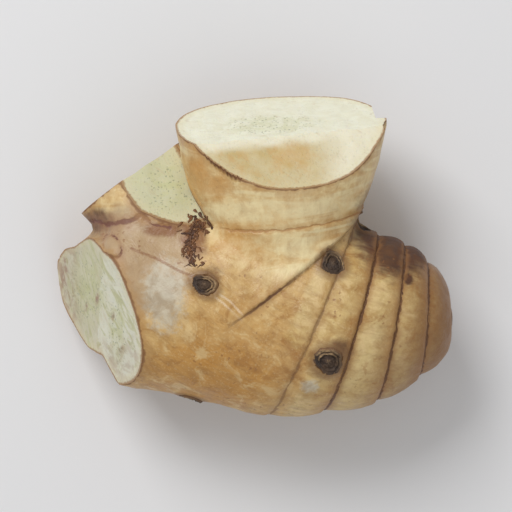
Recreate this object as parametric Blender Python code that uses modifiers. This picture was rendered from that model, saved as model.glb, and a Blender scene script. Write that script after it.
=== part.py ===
"""A cut piece of galangal rhizome, about 70 mm long, lying on the side that it rests on.

+X runs along the ringed body to its growing tip, +Y up the cut stem, +Z up from the table.
The rhizome grew as one piece, so it is one object: swollen lobes melted into one another, with
leaf-scar rings, knife cuts where its neighbours were taken off, and the scars of its roots.
"""

import math

import bmesh
import bpy
import numpy as np
from mathutils import Matrix, Vector
from mathutils.bvhtree import BVHTree

MM = 0.001

# The ringed body, an egg that lies along X and points a little down
BODY_CENTRE = Vector((2.8, -8.6, 0.0)) * MM
BODY_RADII = Vector((31.5, 17.8, 17.0)) * MM
BODY_TURN = math.radians(-3.0)

# The heel, a lower swelling under the body and the stem that the piece rests on
HEEL_CENTRE = Vector((-2.0, 0.5, -5.0)) * MM
HEEL_RADII = Vector((17.0, 14.0, 11.9)) * MM

# Three lobes are stalks with changing sections. Each has stations along its heading in
# millimetres, with a half width and a half depth at each. Squareness 2 is an ellipse.
STEM = {
    "foot": (3.5, -4.0, 0.0), "heading": (0.0, 0.96, 0.28), "side": (1, 0, 0), "squareness": 2.12,
    "stations": (-8, 0, 8, 14, 22, 30, 36),
    "half_widths": (11.5, 13.5, 13.4, 13.7, 16.4, 18.4, 19.0),
    "half_depths": (10.5, 12.5, 12.4, 12.6, 13.3, 13.8, 14.0),
}
OLD_END = {
    "foot": (-5.0, -6.0, 0.0), "heading": (-1.0, 0.05, 0.0), "side": (0, 1, 0), "squareness": 2.15,
    "stations": (-8, 0, 10, 16, 19, 22, 25, 28, 34),
    "half_widths": (13.0, 14.8, 14.3, 15.9, 15.8, 11.0, 10.4, 7.9, 6.6),
    "half_depths": (12.0, 14.0, 14.3, 14.3, 13.9, 13.3, 13.3, 11.9, 11.5),
}
SHOOT = {
    "foot": (-13.0, 2.0, 0.0), "heading": (-0.62, 0.77, 0.0), "side": (1, 0, 0), "squareness": 2.0,
    "stations": (-10, 0, 5, 10, 14, 17, 20),
    "half_widths": (9.0, 12.0, 12.0, 10.8, 10.3, 10.6, 10.0),
    "half_depths": (9.0, 11.5, 11.7, 11.2, 9.6, 7.8, 6.0),
}
LOFT_SIDES = 48
LOFT_STEP = 2.0

# How finely the melted form is meshed, and how far its seams are rounded
MELT_VOXEL = 0.6 * MM
MELT_ROUNDS = 10
FACES_KEPT = 0.105

# Leaf-scar rings fan out from a line beside the stem. Angles are in degrees from -Y about it,
# and the rings lean towards the tip on the upper side.
RING_PIVOT = (32.0, 42.0)
RING_LEAN = 0.067
RING_ANGLES = (-43.0, -33.5, -24.06, -17.1, -10.0, -3.8, 1.8, 6.3)
RINGS_ONLY_BENEATH = 2
RING_STEP = 0.5
RING_PILLOW = 0.3
RING_EDGE = 0.1

# The ring at the stem's waist, and the crease where the stem springs from the ringed body
WAIST_STATION = 14.0
WAIST_SLOPE = 0.08
WAIST_STEP = 0.35
CREASE_STATION = 4.08
CREASE_SLOPE = 0.68
CREASE_STEP = 0.9

# Uneven growth: a few long waves
WAVE_COUNT = 9
WAVE_LENGTHS = (13.0, 30.0)
WAVE_HEIGHT = 0.11

# Knife cuts: a point on the cut, the way that it faces, and half the width of the block that
# it takes away, in millimetres
STEM_CUT = ((3.5, 24.2, 8.3), (-0.05, 0.918, 0.39), 60)
STEM_BEVEL_CUT = ((6.4, 13.2, 18.3), (0.05, 0.50, 0.865), 60)
STEM_CORNER_CUT = ((20.1, 31.3, 6.0), (1.0, 0.0, -0.12), 6)
OLD_END_CUT = ((-27.4, -5.0, 6.8), (-1.0, -0.23, 0.46), 60)
OLD_END_STRIP_CUT = ((-22.3, -5.0, 14.1), (-1.0, -0.38, 0.675), 60)
SHOOT_CUT = ((-19.0, 17.8, 5.2), (0.14, 0.55, 0.82), 13)
SHOOT_BACK_CUT = ((-23.7, 14.3, 0.0), (-0.588, 0.809, -0.02), 60)

# Scars of roots: a point inside the form, the way to the skin from there, the half length and
# half width of the scar, and its turn in degrees
UP, DOWN, LOW_EDGE = (0, 0, 1), (0, 0, -1), (0, -1, 0.25)
ROOT_SCARS = (
    ((-9.4, -3.5, 0.0), UP, 2.3, 1.6, -35.0),
    ((12.5, 0.0, 0.0), UP, 2.3, 2.2, 0.0),
    ((11.75, -16.5, 0.0), UP, 2.6, 2.5, 20.0),
    ((17.6, 6.2, 0.0), UP, 1.8, 1.4, 80.0),
    ((-12.0, -10.0, 0.0), LOW_EDGE, 2.2, 1.5, 0.0),
    ((20.0, -15.0, 0.0), DOWN, 2.4, 2.2, 0.0),
    ((16.5, -1.0, 0.0), DOWN, 2.2, 1.9, 30.0),
    ((-16.0, -12.0, 0.0), DOWN, 2.6, 2.2, 60.0),
    ((-17.5, 4.0, 0.0), DOWN, 2.1, 1.8, 0.0),
)
SCAR_SIDES = 14
SCAR_SIGHT = 40.0 * MM
SCAR_RIM_HEIGHT = 0.4
SCAR_ROOT_DEPTH = 1.6

# The flat spot that the piece rests on, below the middle of the body
REST_HEIGHT = -16.3 * MM
SLIVER = 0.003 * MM

# How much thicker than the stem the sleeve is that keeps the shoot's knives off it, in millimetres
SLEEVE = 0.2

SKIN_COLOUR = (0.56, 0.36, 0.15, 1.0)
FLESH_COLOUR = (0.82, 0.77, 0.57, 1.0)


def collection(name):
    """A new collection in the scene."""
    made = bpy.data.collections.new(name)
    bpy.context.scene.collection.children.link(made)
    return made


def material(name, colour, roughness):
    """A plain Principled material."""
    made = bpy.data.materials.new(name)
    made.use_nodes = True
    shader = made.node_tree.nodes["Principled BSDF"]
    shader.inputs["Base Color"].default_value = colour
    shader.inputs["Roughness"].default_value = roughness
    made.diffuse_color = colour
    return made


def add_object(name, shape, home, coat):
    """An object in a collection from a bmesh or a mesh."""
    if isinstance(shape, bmesh.types.BMesh):
        mesh = bpy.data.meshes.new(name)
        bmesh.ops.recalc_face_normals(shape, faces=shape.faces)
        shape.to_mesh(mesh)
        shape.free()
    else:
        mesh = shape
    mesh.materials.clear()
    mesh.materials.append(coat)
    made = bpy.data.objects.new(name, mesh)
    home.objects.link(made)
    return made


def settle(subject):
    """Apply every modifier of an object to its mesh."""
    bpy.context.view_layer.update()
    evaluated = subject.evaluated_get(bpy.context.evaluated_depsgraph_get())
    subject.data = bpy.data.meshes.new_from_object(evaluated)
    subject.modifiers.clear()


def combine(subject, tool, operation):
    """Join a solid to the subject, or take it away."""
    step = subject.modifiers.new(operation.lower(), "BOOLEAN")
    step.operation = operation
    step.solver = "MANIFOLD"
    step.object = tool
    step.material_mode = "TRANSFER"
    settle(subject)


def egg(name, centre, radii, turn, home, coat):
    """A ball stretched to three radii and turned about Z."""
    shape = bmesh.new()
    bmesh.ops.create_icosphere(shape, subdivisions=5, radius=1.0)
    place = Matrix.Translation(centre) @ Matrix.Rotation(turn, 4, "Z") @ Matrix.Diagonal(radii).to_4x4()
    bmesh.ops.transform(shape, matrix=place, verts=shape.verts)
    return add_object(name, shape, home, coat)


def axes_of(lobe):
    """The across, depth and heading directions of a lobe, in that order."""
    heading = Vector(lobe["heading"]).normalized()
    side = Vector(lobe["side"])
    across = (side - heading * side.dot(heading)).normalized()
    return across, across.cross(heading), heading


def stalk(name, lobe, home, coat):
    """A loft of rounded sections along the lobe's heading, closed at both ends."""
    across, depth, heading = axes_of(lobe)
    foot = Vector(lobe["foot"])
    stations = np.array(lobe["stations"], float)
    count = round((stations[-1] - stations[0]) / LOFT_STEP) + 1
    power = 2.0 / lobe["squareness"]
    shape = bmesh.new()
    sections = []
    for along in np.linspace(stations[0], stations[-1], count):
        width = np.interp(along, stations, lobe["half_widths"])
        thick = np.interp(along, stations, lobe["half_depths"])
        section = []
        for k in range(LOFT_SIDES):
            turn = 2 * math.pi * k / LOFT_SIDES
            u = math.copysign(abs(math.cos(turn)) ** power, math.cos(turn)) * width
            v = math.copysign(abs(math.sin(turn)) ** power, math.sin(turn)) * thick
            section.append(shape.verts.new((foot + heading * along + across * u + depth * v) * MM))
        sections.append(section)
    for lower, upper in zip(sections, sections[1:]):
        for k in range(LOFT_SIDES):
            j = (k + 1) % LOFT_SIDES
            shape.faces.new((lower[k], lower[j], upper[j], upper[k]))
    shape.faces.new(sections[0])
    shape.faces.new(sections[-1])
    return add_object(name, shape, home, coat)


def melt(subject):
    """Mesh the joined lobes evenly and round the seams between them."""
    grain = subject.modifiers.new("even", "REMESH")
    grain.mode = "VOXEL"
    grain.voxel_size = MELT_VOXEL
    soft = subject.modifiers.new("round", "SMOOTH")
    soft.factor = 0.5
    soft.iterations = MELT_ROUNDS
    settle(subject)


def ring_relief(place):
    """Height of the pillows between the rings: each swells, then steps down towards the tip."""
    x, y, z = place.T
    angle = np.degrees(np.arctan2(x - RING_PIVOT[0], RING_PIVOT[1] - y)) - RING_LEAN * z
    index = np.interp(angle, RING_ANGLES, np.arange(len(RING_ANGLES)))
    inside = np.clip((angle - RING_ANGLES[0]) / 4.0, 0, 1) * np.clip((RING_ANGLES[-1] - angle) / 3.0, 0, 1)
    part = index - np.floor(index)
    drop = np.clip((part - 1 + RING_EDGE) / RING_EDGE, 0, 1)
    ramp = RING_STEP * (part - 0.5) * (1 - drop) - RING_STEP * 0.5 * drop
    pillow = RING_PILLOW * 4 * part * (1 - part)
    beneath = np.clip((-z - 1.0) / 5.0, 0, 1)
    visible = np.clip(index - RINGS_ONLY_BENEATH + 0.5, 0, 1)
    return (ramp + pillow) * inside * np.maximum(visible, beneath)


def stem_relief(place):
    """Steps at the stem's waist ring and at the crease where it leaves the body."""
    across, depth, heading = axes_of(STEM)
    offset = place - np.array(STEM["foot"])
    along = offset @ np.array(heading)
    sideways = offset @ np.array(across)
    waist = along - WAIST_STATION - WAIST_SLOPE * sideways
    on_stem = np.clip((along - 5.0) / 4.0, 0, 1) * np.clip((place[:, 0] + 9.0) / 5.0, 0, 1)
    lip = np.where(waist < 0, np.exp(waist / 4.0), 0) * np.clip(-waist / 0.6, 0, 1)
    crease = (along - CREASE_STATION - CREASE_SLOPE * sideways) / math.hypot(1, CREASE_SLOPE)
    above = np.clip(crease / 0.8, 0, 1) * np.exp(-np.maximum(crease, 0) / 4.0)
    below = np.where(crease < 0, np.exp(crease / 2.5), np.exp(-crease / 0.4))
    reach = np.clip((place[:, 0] + 6.0) / 6.0, 0, 1)
    return WAIST_STEP * lip * on_stem + CREASE_STEP * reach * (0.6 * above - 0.3 * below)


def wave_relief(place):
    """Uneven growth: long waves in fixed random directions."""
    draw = np.random.default_rng(11)
    ways = draw.normal(size=(WAVE_COUNT, 3))
    ways /= np.linalg.norm(ways, axis=1, keepdims=True)
    lengths = draw.uniform(*WAVE_LENGTHS, WAVE_COUNT)
    starts = draw.uniform(0, 2 * math.pi, WAVE_COUNT)
    return WAVE_HEIGHT * np.sin(place @ (ways * (2 * math.pi / lengths)[:, None]).T + starts).sum(axis=1)


def raise_relief(subject, spare=0.0):
    """Move each vertex along its normal by the height of the relief there and a spare height."""
    mesh = subject.data
    place = np.empty(len(mesh.vertices) * 3, np.float32)
    normal = np.empty_like(place)
    mesh.vertices.foreach_get("co", place)
    mesh.vertices.foreach_get("normal", normal)
    place = place.reshape(-1, 3).astype(float)
    in_mm = place / MM
    height = ring_relief(in_mm) + stem_relief(in_mm) + wave_relief(in_mm) + spare
    place += normal.reshape(-1, 3) * height[:, None] * MM
    mesh.vertices.foreach_set("co", place.astype(np.float32).ravel())
    mesh.update()


def thin_out(subject):
    """Keep the faces that the form needs."""
    fewer = subject.modifiers.new("fewer", "DECIMATE")
    fewer.ratio = FACES_KEPT
    fewer.use_collapse_triangulate = True
    settle(subject)


def knife(name, cut, home, coat):
    """A block that takes away all that lies beyond a cut."""
    point, facing, reach = Vector(cut[0]) * MM, Vector(cut[1]).normalized(), cut[2] * MM
    shape = bmesh.new()
    bmesh.ops.create_cube(shape, size=2 * reach)
    side = (Vector((1, 0, 0)) - facing * facing.x).normalized()
    turn = Matrix((side, facing.cross(side), facing)).transposed().to_4x4()
    place = Matrix.Translation(point + facing * reach) @ turn
    bmesh.ops.transform(shape, matrix=place, verts=shape.verts)
    made = add_object(name, shape, home, coat)
    made.hide_render = True
    made.display_type = "WIRE"
    return made


def root_scar(name, scar, ground, home, coat):
    """A shallow turned cup with a raised rim, sunk into the skin where a root was broken off."""
    inside, way, length, width, turn = scar
    way = Vector(way).normalized()
    spot, facing, _, _ = ground.ray_cast(Vector(inside) * MM + way * SCAR_SIGHT, -way)
    lip = SCAR_RIM_HEIGHT
    profile = ((0.0, -0.3 * lip), (0.55, -0.1 * lip), (0.78, lip), (0.92, 0.8 * lip),
               (1.05, -SCAR_ROOT_DEPTH), (0.0, -SCAR_ROOT_DEPTH))
    outline = bmesh.new()
    points = [outline.verts.new((radius, 0, height)) for radius, height in profile]
    for first, second in zip(points, points[1:]):
        outline.edges.new((first, second))
    mesh = bpy.data.meshes.new(name)
    outline.to_mesh(mesh)
    outline.free()
    made = add_object(name, mesh, home, coat)
    spin = made.modifiers.new("turn", "SCREW")
    spin.steps = SCAR_SIDES
    spin.render_steps = SCAR_SIDES
    spin.use_merge_vertices = True
    spin.merge_threshold = 0.0001
    settle(made)
    stretch = Matrix.Diagonal((length * MM, width * MM, MM, 1.0))
    upright = facing.to_track_quat("Z", "Y").to_matrix().to_4x4()
    made.data.transform(Matrix.Translation(spot) @ upright @ Matrix.Rotation(math.radians(turn), 4, "Z") @ stretch)
    return made


def grow(home, tools, skin):
    """The uncut rhizome with its rings."""
    root = egg("galangal_root", BODY_CENTRE, BODY_RADII, BODY_TURN, home, skin)
    lobes = [
        egg("heel", HEEL_CENTRE, HEEL_RADII, 0.0, tools, skin),
        stalk("old_end", OLD_END, tools, skin),
        stalk("shoot", SHOOT, tools, skin),
        stalk("stem", STEM, tools, skin),
    ]
    for lobe in lobes:
        combine(root, lobe, "UNION")
    melt(root)
    raise_relief(root)
    thin_out(root)
    return root


def stem_sleeve(tools, skin):
    """The stem alone, grown like the root but a little thicker."""
    sleeve = stalk("stem_sleeve", STEM, tools, skin)
    melt(sleeve)
    raise_relief(sleeve, SLEEVE)
    thin_out(sleeve)
    return sleeve


def cut_off_neighbours(root, tools, skin, flesh):
    """The knife cuts. Those at the shoot stop at the stem, which stands in front of them."""
    for name, cut in (("stem_knife", STEM_CUT), ("bevel_knife", STEM_BEVEL_CUT),
                      ("corner_knife", STEM_CORNER_CUT), ("old_end_knife", OLD_END_CUT),
                      ("strip_knife", OLD_END_STRIP_CUT)):
        combine(root, knife(name, cut, tools, flesh), "DIFFERENCE")
    sleeve = stem_sleeve(tools, skin)
    for name, cut in (("shoot_knife", SHOOT_CUT), ("shoot_back_knife", SHOOT_BACK_CUT)):
        blade = knife(name, cut, tools, flesh)
        combine(blade, sleeve, "DIFFERENCE")
        combine(root, blade, "DIFFERENCE")


def add_root_scars(root, tools, skin):
    """Every root scar, joined to the skin that it sits in."""
    shape = bmesh.new()
    shape.from_mesh(root.data)
    ground = BVHTree.FromBMesh(shape)
    shape.free()
    for number, scar in enumerate(ROOT_SCARS, 1):
        combine(root, root_scar(f"root_scar_{number}", scar, ground, tools, skin), "UNION")


def lay_down(root, tools, skin):
    """Flatten the spot that it rests on, and put the origin below the middle of its box."""
    rest = ((0.0, 0.0, REST_HEIGHT / MM), (0.0, 0.0, -1.0), 60)
    combine(root, knife("rest_knife", rest, tools, skin), "DIFFERENCE")
    place = np.array([vertex.co for vertex in root.data.vertices])
    middle = (place.min(axis=0) + place.max(axis=0)) / 2
    root.data.transform(Matrix.Translation((-middle[0], -middle[1], -REST_HEIGHT)))


def tidy_mesh(root):
    """Take out the slivers that the cuts leave, split the faces into triangles and shade round."""
    shape = bmesh.new()
    shape.from_mesh(root.data)
    bmesh.ops.triangulate(shape, faces=shape.faces)
    bmesh.ops.dissolve_degenerate(shape, edges=shape.edges, dist=SLIVER)
    bmesh.ops.triangulate(shape, faces=shape.faces)
    shape.to_mesh(root.data)
    shape.free()
    root.data.shade_smooth()
    root.data.set_sharp_from_angle(angle=math.radians(40))


for old in list(bpy.data.objects):
    bpy.data.objects.remove(old)
home = collection("galangal")
tools = collection("cutters")
skin = material("skin", SKIN_COLOUR, 0.5)
flesh = material("cut flesh", FLESH_COLOUR, 0.6)
root = grow(home, tools, skin)
cut_off_neighbours(root, tools, skin, flesh)
add_root_scars(root, tools, skin)
lay_down(root, tools, skin)
tidy_mesh(root)
for tool in tools.objects:
    tool.hide_render = True
    tool.display_type = "WIRE"
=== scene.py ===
import math

import bpy
import numpy as np
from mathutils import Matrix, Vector


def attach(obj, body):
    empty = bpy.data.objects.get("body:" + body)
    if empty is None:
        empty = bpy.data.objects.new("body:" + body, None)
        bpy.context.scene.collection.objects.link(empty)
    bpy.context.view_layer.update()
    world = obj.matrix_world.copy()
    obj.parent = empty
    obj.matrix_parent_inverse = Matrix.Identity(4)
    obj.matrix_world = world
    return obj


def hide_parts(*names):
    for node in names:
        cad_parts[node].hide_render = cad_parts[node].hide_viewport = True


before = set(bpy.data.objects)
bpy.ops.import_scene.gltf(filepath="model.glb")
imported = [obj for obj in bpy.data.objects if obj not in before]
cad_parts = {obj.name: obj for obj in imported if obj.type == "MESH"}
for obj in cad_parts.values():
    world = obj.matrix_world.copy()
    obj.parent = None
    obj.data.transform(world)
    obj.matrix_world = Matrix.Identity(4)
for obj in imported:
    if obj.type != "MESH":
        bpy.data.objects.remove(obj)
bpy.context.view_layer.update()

# The grown form. A rhizome swells underground as lobes that melt into one another: a ringed body,
# a thick stem, an older end and a side shoot. Lengths are in millimetres from the body's middle,
# X to the growing tip, Y up the stem, Z up from the table.
FRAME_ORIGIN = np.array((-1.197, 1.505, -16.3))
REST_LEVEL = -16.3
BODY = {"centre": (2.8, -8.6, 0.0), "radii": (31.5, 17.8, 17.0), "turn": math.radians(-3.0)}
HEEL = {"centre": (-2.0, 0.5, -5.0), "radii": (17.0, 14.0, 11.9), "turn": 0.0}
STEM = {
    "foot": (3.5, -4.0, 0.0), "heading": (0.0, 0.96, 0.28), "side": (1, 0, 0), "squareness": 2.12,
    "stations": (-8, 0, 8, 14, 22, 30, 36),
    "half_widths": (11.5, 13.5, 13.4, 13.7, 16.4, 18.4, 19.0),
    "half_depths": (10.5, 12.5, 12.4, 12.6, 13.3, 13.8, 14.0),
}
OLD_END = {
    "foot": (-5.0, -6.0, 0.0), "heading": (-1.0, 0.05, 0.0), "side": (0, 1, 0), "squareness": 2.15,
    "stations": (-8, 0, 10, 16, 19, 22, 25, 28, 34),
    "half_widths": (13.0, 14.8, 14.3, 15.9, 15.8, 11.0, 10.4, 7.9, 6.6),
    "half_depths": (12.0, 14.0, 14.3, 14.3, 13.9, 13.3, 13.3, 11.9, 11.5),
}
SHOOT = {
    "foot": (-13.0, 2.0, 0.0), "heading": (-0.62, 0.77, 0.0), "side": (1, 0, 0), "squareness": 2.0,
    "stations": (-10, 0, 5, 10, 14, 17, 20),
    "half_widths": (9.0, 12.0, 12.0, 10.8, 10.3, 10.6, 10.0),
    "half_depths": (9.0, 11.5, 11.7, 11.2, 9.6, 7.8, 6.0),
}
RING_PIVOT = (32.0, 42.0)
RING_LEAN = 0.067
RING_ANGLES = (-43.0, -33.5, -24.06, -17.1, -10.0, -3.8, 1.8, 6.3)
RINGS_ONLY_BENEATH = 2
RING_STEP = 0.55
RING_PILLOW = 0.42
RING_EDGE = 0.07
RING_FADE_OLD, RING_FADE_TIP = 4.0, 3.0
BENEATH_FROM, BENEATH_FADE = 1.0, 5.0
WAIST_STATION, WAIST_SLOPE, WAIST_STEP = 14.0, 0.08, 0.35
CREASE_STATION, CREASE_SLOPE, CREASE_STEP = 4.08, 0.68, 0.9
UNEVEN = {"seed": 11, "count": 9, "lengths": (13.0, 30.0), "height": 0.11}
WRINKLES = {"seed": 5, "count": 14, "lengths": (2.2, 5.0), "height": 0.012}
OLD_END_MELT, SHOOT_MELT, HEEL_MELT, STEM_MELT, SEAM_MELT = 4.0, 2.0, 3.0, 2.4, 1.0
SEAM = {"middle": (-13.5, 14.0, 8.0), "radii": (9.0, 11.0, 14.0), "reach": 1.6}


def step_up(value, low, high):
    """0 below the low value, 1 above the high one, and a smooth rise between."""
    share = np.clip((value - low) / (high - low), 0, 1)
    return share * share * (3 - 2 * share)


def unit(ways):
    """The direction of a vector, or of each vector in an array, one long."""
    ways = np.asarray(ways, float)
    return ways / np.maximum(np.linalg.norm(ways, axis=-1, keepdims=True), 1e-9)


def egg(place, lobe):
    """Distance from an egg: how far the scaled radius passes one, over its slope."""
    turn = lobe["turn"]
    spin = np.array(((math.cos(turn), -math.sin(turn), 0), (math.sin(turn), math.cos(turn), 0), (0, 0, 1)))
    offset = (place - lobe["centre"]) @ spin
    near = np.linalg.norm(offset / lobe["radii"], axis=1)
    slope = np.linalg.norm(offset / np.square(lobe["radii"]), axis=1)
    return near * (near - 1) / np.maximum(slope, 1e-9)


def station_of(place, lobe):
    """How far along, across and deep a point lies in a stalk, and the stalk's half sizes there."""
    heading = unit(lobe["heading"])
    side = np.asarray(lobe["side"], float)
    across = unit(side - side.dot(heading) * heading)
    offset = place - lobe["foot"]
    along = offset @ heading
    width = np.interp(along, lobe["stations"], lobe["half_widths"])
    depth = np.interp(along, lobe["stations"], lobe["half_depths"])
    return along, offset @ across, offset @ np.cross(across, heading), width, depth


def stalk(place, lobe):
    """Distance from a stalk: the rounded section's scaled radius less one, times its thin side."""
    along, across, deep, width, depth = station_of(place, lobe)
    power = lobe["squareness"]
    radius = (np.abs(across / width) ** power + np.abs(deep / depth) ** power) ** (1 / power)
    start = lobe["stations"][0] + 2
    return np.maximum((radius - 1) * np.minimum(width, depth), start - along)


def melt(first, second, reach):
    """The nearer of two distances, rounded where they are within reach of each other."""
    share = np.clip(0.5 + 0.5 * (second - first) / reach, 0, 1)
    return second + (first - second) * share - reach * share * (1 - share)


def ring_index(place):
    """The ring number at a point, from its angle about the rings' pivot line, and its angle."""
    x, y, z = place.T
    angle = np.degrees(np.arctan2(x - RING_PIVOT[0], RING_PIVOT[1] - y)) - RING_LEAN * z
    return np.interp(angle, RING_ANGLES, np.arange(len(RING_ANGLES))), angle


def ring_strength(place):
    """1 where rings show: all round the tip, and only beneath towards the older end."""
    index, angle = ring_index(place)
    inside = np.clip((angle - RING_ANGLES[0]) / RING_FADE_OLD, 0, 1)
    inside = inside * np.clip((RING_ANGLES[-1] - angle) / RING_FADE_TIP, 0, 1)
    beneath = np.clip((-place[:, 2] - BENEATH_FROM) / BENEATH_FADE, 0, 1)
    return inside * np.maximum(np.clip(index - RINGS_ONLY_BENEATH + 0.5, 0, 1), beneath)


def ring_relief(place):
    """Between two rings the skin swells like a pillow, then steps down towards the tip."""
    index, _ = ring_index(place)
    part = index - np.floor(index)
    drop = step_up(part, 1 - RING_EDGE, 1)
    ramp = RING_STEP * (part - 0.5) * (1 - drop) - RING_STEP * 0.5 * drop
    return (ramp + RING_PILLOW * 4 * part * (1 - part)) * ring_strength(place)


def waist_gap(place):
    """Distance along the stem from its waist ring."""
    along, across, _, _, _ = station_of(place, STEM)
    return along - WAIST_STATION - WAIST_SLOPE * across


def crease_gap(place):
    """Distance from the slanted crease where the stem springs from the ringed body."""
    along, across, _, _, _ = station_of(place, STEM)
    return (along - CREASE_STATION - CREASE_SLOPE * across) / math.hypot(1, CREASE_SLOPE)


def crease_reach(place):
    """1 where the crease shows, fading out towards the older end."""
    return np.clip((place[:, 0] + 6.0) / 6.0, 0, 1)


def stem_relief(place):
    """A low lip below the waist ring, and the stem's foot standing over the ringed body."""
    along = station_of(place, STEM)[0]
    waist = waist_gap(place)
    lip = np.where(waist < 0, np.exp(waist / 4.0), 0) * np.clip(-waist / 0.4, 0, 1)
    crease = crease_gap(place)
    above = np.clip(crease / 0.5, 0, 1) * np.exp(-np.maximum(crease, 0) / 4.0)
    below = np.where(crease < 0, np.exp(crease / 2.5), np.exp(-crease / 0.3))
    on_stem = np.clip((along - 5.0) / 4.0, 0, 1) * np.clip((place[:, 0] + 9.0) / 5.0, 0, 1)
    return WAIST_STEP * lip * on_stem + CREASE_STEP * crease_reach(place) * (0.6 * above - 0.3 * below)


def waves(place, seed, count, lengths, height):
    """A sum of sine waves in fixed random directions."""
    draw = np.random.default_rng(seed)
    ways = unit(draw.normal(size=(count, 3)))
    sizes = draw.uniform(*lengths, count)
    starts = draw.uniform(0, 2 * math.pi, count)
    return height * np.sin(place @ (ways * (2 * math.pi / sizes)[:, None]).T + starts).sum(axis=1)


def relief(place):
    """Height of the skin above the smooth lobes: rings, creases, uneven growth and fine wrinkles."""
    return ring_relief(place) + stem_relief(place) + waves(place, **UNEVEN) + waves(place, **WRINKLES)


def stem_melt(place):
    """How widely stem and trunk melt together: less at the seam beside the sliced shoot."""
    away = np.linalg.norm((place - SEAM["middle"]) / SEAM["radii"], axis=1)
    return STEM_MELT + (SEAM_MELT - STEM_MELT) * np.clip(SEAM["reach"] - away, 0, 1)


def trunk_lobes(place):
    """Distance from the lobes below the stem, melted together."""
    trunk = melt(egg(place, BODY), stalk(place, OLD_END), OLD_END_MELT)
    return melt(melt(trunk, stalk(place, SHOOT), SHOOT_MELT), egg(place, HEEL), HEEL_MELT)


def with_stem(place, trunk):
    """Distance from the trunk melted with the stem."""
    return melt(trunk, stalk(place, STEM), stem_melt(place))


def smooth_form(place):
    """Distance from the melted lobes without relief, negative inside."""
    return with_stem(place, trunk_lobes(place))


def grown(place):
    """Distance from the grown skin with its relief, negative inside."""
    return smooth_form(place) - relief(place)


# The knife cuts. Each is a flat blade's path, with a point on it, the way that it faces and the
# half width of the block that it takes off. The flesh dries and sinks a little below the skin.
STEM_CUT = ((3.5, 24.2, 8.3), (-0.05, 0.918, 0.39), 24)
STEM_BEVEL_CUT = ((6.4, 13.2, 18.3), (0.05, 0.50, 0.865), 24)
STEM_CORNER_CUT = ((20.1, 31.3, 6.0), (1.0, 0.0, -0.12), 6)
OLD_END_CUT = ((-27.4, -5.0, 6.8), (-1.0, -0.23, 0.46), 25)
OLD_END_STRIP_CUT = ((-22.3, -5.0, 14.1), (-1.0, -0.38, 0.675), 22)
SHOOT_CUT = ((-19.0, 17.8, 5.2), (0.14, 0.55, 0.82), 13)
SHOOT_BACK_CUT = ((-23.7, 14.3, 0.0), (-0.588, 0.809, -0.02), 22)
REST_CUT = ((0.0, -5.0, REST_LEVEL), (0.0, 0.0, -1.0), 22)
STEM_CUTS = (STEM_CUT, STEM_BEVEL_CUT, STEM_CORNER_CUT)
OLD_END_CUTS = (OLD_END_CUT, OLD_END_STRIP_CUT)
SHOOT_CUTS = (SHOOT_CUT, SHOOT_BACK_CUT)
TRUNK_CUTS = OLD_END_CUTS + SHOOT_CUTS
SPARE, STEM_SPARE, SLEEVE = 1.6, 6.0, 0.12
FLESH_SINK, SINK_DEPTH, MARKS_DEPTH = 0.22, 1.4, 2.0
KNIFE_MARKS = {"seed": 21, "count": 8, "lengths": (1.5, 6.0), "height": 0.012}


def beyond(place, cut):
    """Distance past a blade's path."""
    return (place - cut[0]) @ unit(cut[1])


def rough_root(place):
    """The smooth form, trimmed a little beyond every cut."""
    trunk = trunk_lobes(place)
    for cut in TRUNK_CUTS:
        trunk = np.maximum(trunk, beyond(place, cut) - SPARE)
    form = with_stem(place, trunk)
    for cut in STEM_CUTS[:2]:
        form = np.maximum(form, beyond(place, cut) - SPARE)
    return form


def stem_sleeve(place):
    """The stem alone, a hair thicker than it grew and longer than its cuts leave it."""
    form = np.maximum(stalk(place, STEM) - SLEEVE, -3.0 - station_of(place, STEM)[0])
    return np.maximum(form, beyond(place, STEM_CUT) - STEM_SPARE)


def slope_of(form, place, step=0.02):
    """The direction in which a distance grows fastest, from small steps each way."""
    steps = np.eye(3) * step
    return np.stack([(form(place + s) - form(place - s)) / (2 * step) for s in steps], axis=1)


# Where roots were cut away: a point inside, the way out to the skin from it, the half length and
# half width of the scar, and its turn in degrees.
ROOT_SCARS = (
    ((-9.4, -3.5, 0.0), (0, 0, 1), 2.4, 1.7, -38.0),
    ((12.5, 0.0, 0.0), (0, 0, 1), 2.3, 2.2, 0.0),
    ((11.75, -16.5, 0.0), (0, 0, 1), 2.6, 2.5, 20.0),
    ((17.6, 6.2, 0.0), (0, 0, 1), 1.9, 1.4, 80.0),
    ((-12.0, -10.0, 0.0), (0, -1, 0.25), 2.2, 1.5, 0.0),
    ((20.0, -15.0, 0.0), (0, 0, -1), 2.4, 2.2, 0.0),
    ((16.5, -1.0, 0.0), (0, 0, -1), 2.2, 1.9, 30.0),
    ((-16.0, -12.0, 0.0), (0, 0, -1), 2.6, 2.2, 60.0),
    ((-17.5, 4.0, 0.0), (0, 0, -1), 2.1, 1.8, 0.0),
)
SCAR_CUSHION, SCAR_HOLLOW = 0.32, 1.1
BUD = {"middle": (-25.3, 3.1), "half": (2.1, 1.35), "turn": math.radians(-58), "height": 0.45}
FAR_AWAY = 9.0


def scar_seat(scar):
    """Where a line from inside crosses the skin, with the scar's long, short and outward ways."""
    spot = np.array([scar[0]], float)
    for _ in range(60):
        spot = spot - grown(spot)[:, None] * 0.7 * unit(scar[1])
    out = unit(slope_of(smooth_form, spot, 0.5)[0])
    turn = math.radians(scar[4])
    long = np.array((math.cos(turn), math.sin(turn), 0.0))
    long = unit(long - long.dot(out) * out)
    return {"spot": spot[0], "long": long, "short": np.cross(out, long), "out": out, "half": scar[2:4]}


SCAR_SEATS = [scar_seat(scar) for scar in ROOT_SCARS]


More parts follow.
